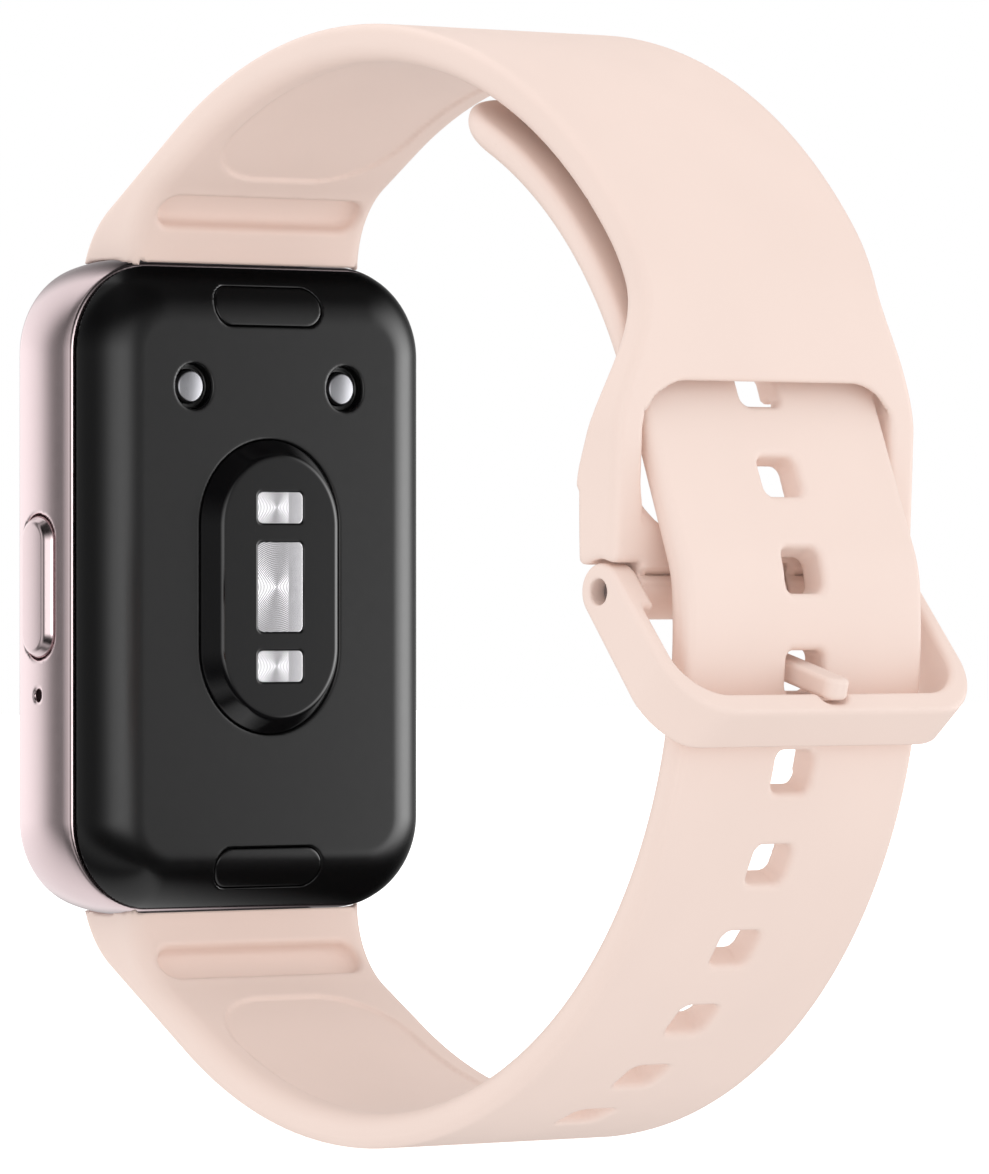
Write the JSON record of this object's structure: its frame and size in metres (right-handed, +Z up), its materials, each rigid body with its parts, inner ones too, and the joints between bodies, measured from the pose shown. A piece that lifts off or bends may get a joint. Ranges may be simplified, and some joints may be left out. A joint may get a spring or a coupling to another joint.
{
  "type": "fitness tracker band",
  "caption": "Slim wrist tracker with a raised oval sensor window on its back, on a two-piece silicone strap closed through a window by a pin buckle.",
  "frame": {"origin": "middle of the wrist opening, half way along the tracker and across the strap", "axes": "+Y along the wrist's axis, away from the side button; +Z up along the tracker's long side; +X from the tracker across the wrist to the buckle"},
  "size_m": [0.0672, 0.0293, 0.0709],
  "materials": {
    "strap_silicone": "soft matte silicone",
    "frame_metal": "satin anodised, rose pink",
    "back_plastic": "smooth black",
    "sensor_window": "polished black",
    "lens_clear": "clear moulded rings",
    "display_glass": "polished, black behind",
    "display_panel": "polished",
    "adhesive_foam": "matt foam tape",
    "seal_rubber": "soft seal rubber",
    "contact_metal": "polished steel",
    "inner_plastic": "moulded",
    "board_green": "solder mask",
    "shield_steel": "pressed sheet",
    "cell_wrap": "foil pouch",
    "spring_steel": "spring steel",
    "chip_ceramic": "ceramic package",
    "membrane_white": "breathing membrane"
  },
  "bodies": {
    "band": {"housing_frame": "frame_metal", "display_glass": "display_glass", "display_adhesive": "adhesive_foam", "display_panel": "display_panel", "back_cover": "back_plastic", "back_gasket": "seal_rubber", "sensor_dome": "sensor_window", "sensor_lens_top": "lens_clear", "sensor_lens_centre": "lens_clear", "sensor_lens_bottom": "lens_clear", "sensor_board": "board_green", "sensor_chips": "chip_ceramic", "charging_contact_left": "contact_metal", "charging_contact_right": "contact_metal", "button_seal": "seal_rubber", "button_switch": "shield_steel", "vent_membrane": "membrane_white", "inner_bracket": "inner_plastic", "bracket_screws": "shield_steel", "main_board": "board_green", "shield_can": "shield_steel", "battery": "cell_wrap", "vibration_motor_case": "shield_steel", "vibration_motor_spring": "spring_steel", "strap_connector_top": "inner_plastic", "strap_connector_bottom": "inner_plastic", "release_spring_top": "spring_steel", "release_spring_bottom": "spring_steel", "upper_strap": "strap_silicone", "lower_strap": "strap_silicone", "buckle_pin": "contact_metal"},
    "side_button": {"side_button": "frame_metal", "button_clip": "spring_steel"},
    "release_button_top": {"release_button_top": "back_plastic"},
    "release_button_bottom": {"release_button_bottom": "back_plastic"},
    "buckle_frame": {"buckle_frame": "strap_silicone"},
    "buckle_tongue": {"buckle_tongue": "strap_silicone"},
    "vibration_mass": {"vibration_motor_mass": "contact_metal"}
  },
  "joints": [
    {"name": "side_button_press", "type": "slide", "parent": "band", "child": "side_button", "axis": [0, 1, 0], "range_m": [0, 0.0003], "stiffness_N_per_m": 2000, "springref_m": -0.0003},
    {"name": "release_top_press", "type": "slide", "parent": "band", "child": "release_button_top", "axis": [-1, 0, 0], "range_m": [0, 0.0008], "stiffness_N_per_m": 1200, "springref_m": -0.0008, "deforming": ["release_spring_top"]},
    {"name": "release_bottom_press", "type": "slide", "parent": "band", "child": "release_button_bottom", "axis": [-1, 0, 0], "range_m": [0, 0.0008], "stiffness_N_per_m": 1200, "springref_m": -0.0008, "deforming": ["release_spring_bottom"]},
    {"name": "buckle_frame_hinge", "type": "hinge", "parent": "band", "child": "buckle_frame", "pos_m": [0.02475, 0, -0.0003], "axis": [0, -1, 0], "range_deg": [0, 4]},
    {"name": "buckle_tongue_hinge", "type": "hinge", "parent": "band", "child": "buckle_tongue", "pos_m": [0.02475, 0, -0.0003], "axis": [0, -1, 0], "range_deg": [0, 4]},
    {"name": "vibration_slide", "type": "slide", "parent": "band", "child": "vibration_mass", "axis": [-1, 0, 0], "range_m": [-0.00025, 0.00025], "stiffness_N_per_m": 800, "deforming": ["vibration_motor_spring"]}
  ],
  "couplings": [
    {"joint": "buckle_tongue_hinge", "follows": "buckle_frame_hinge", "ratio": 1}
  ]
}
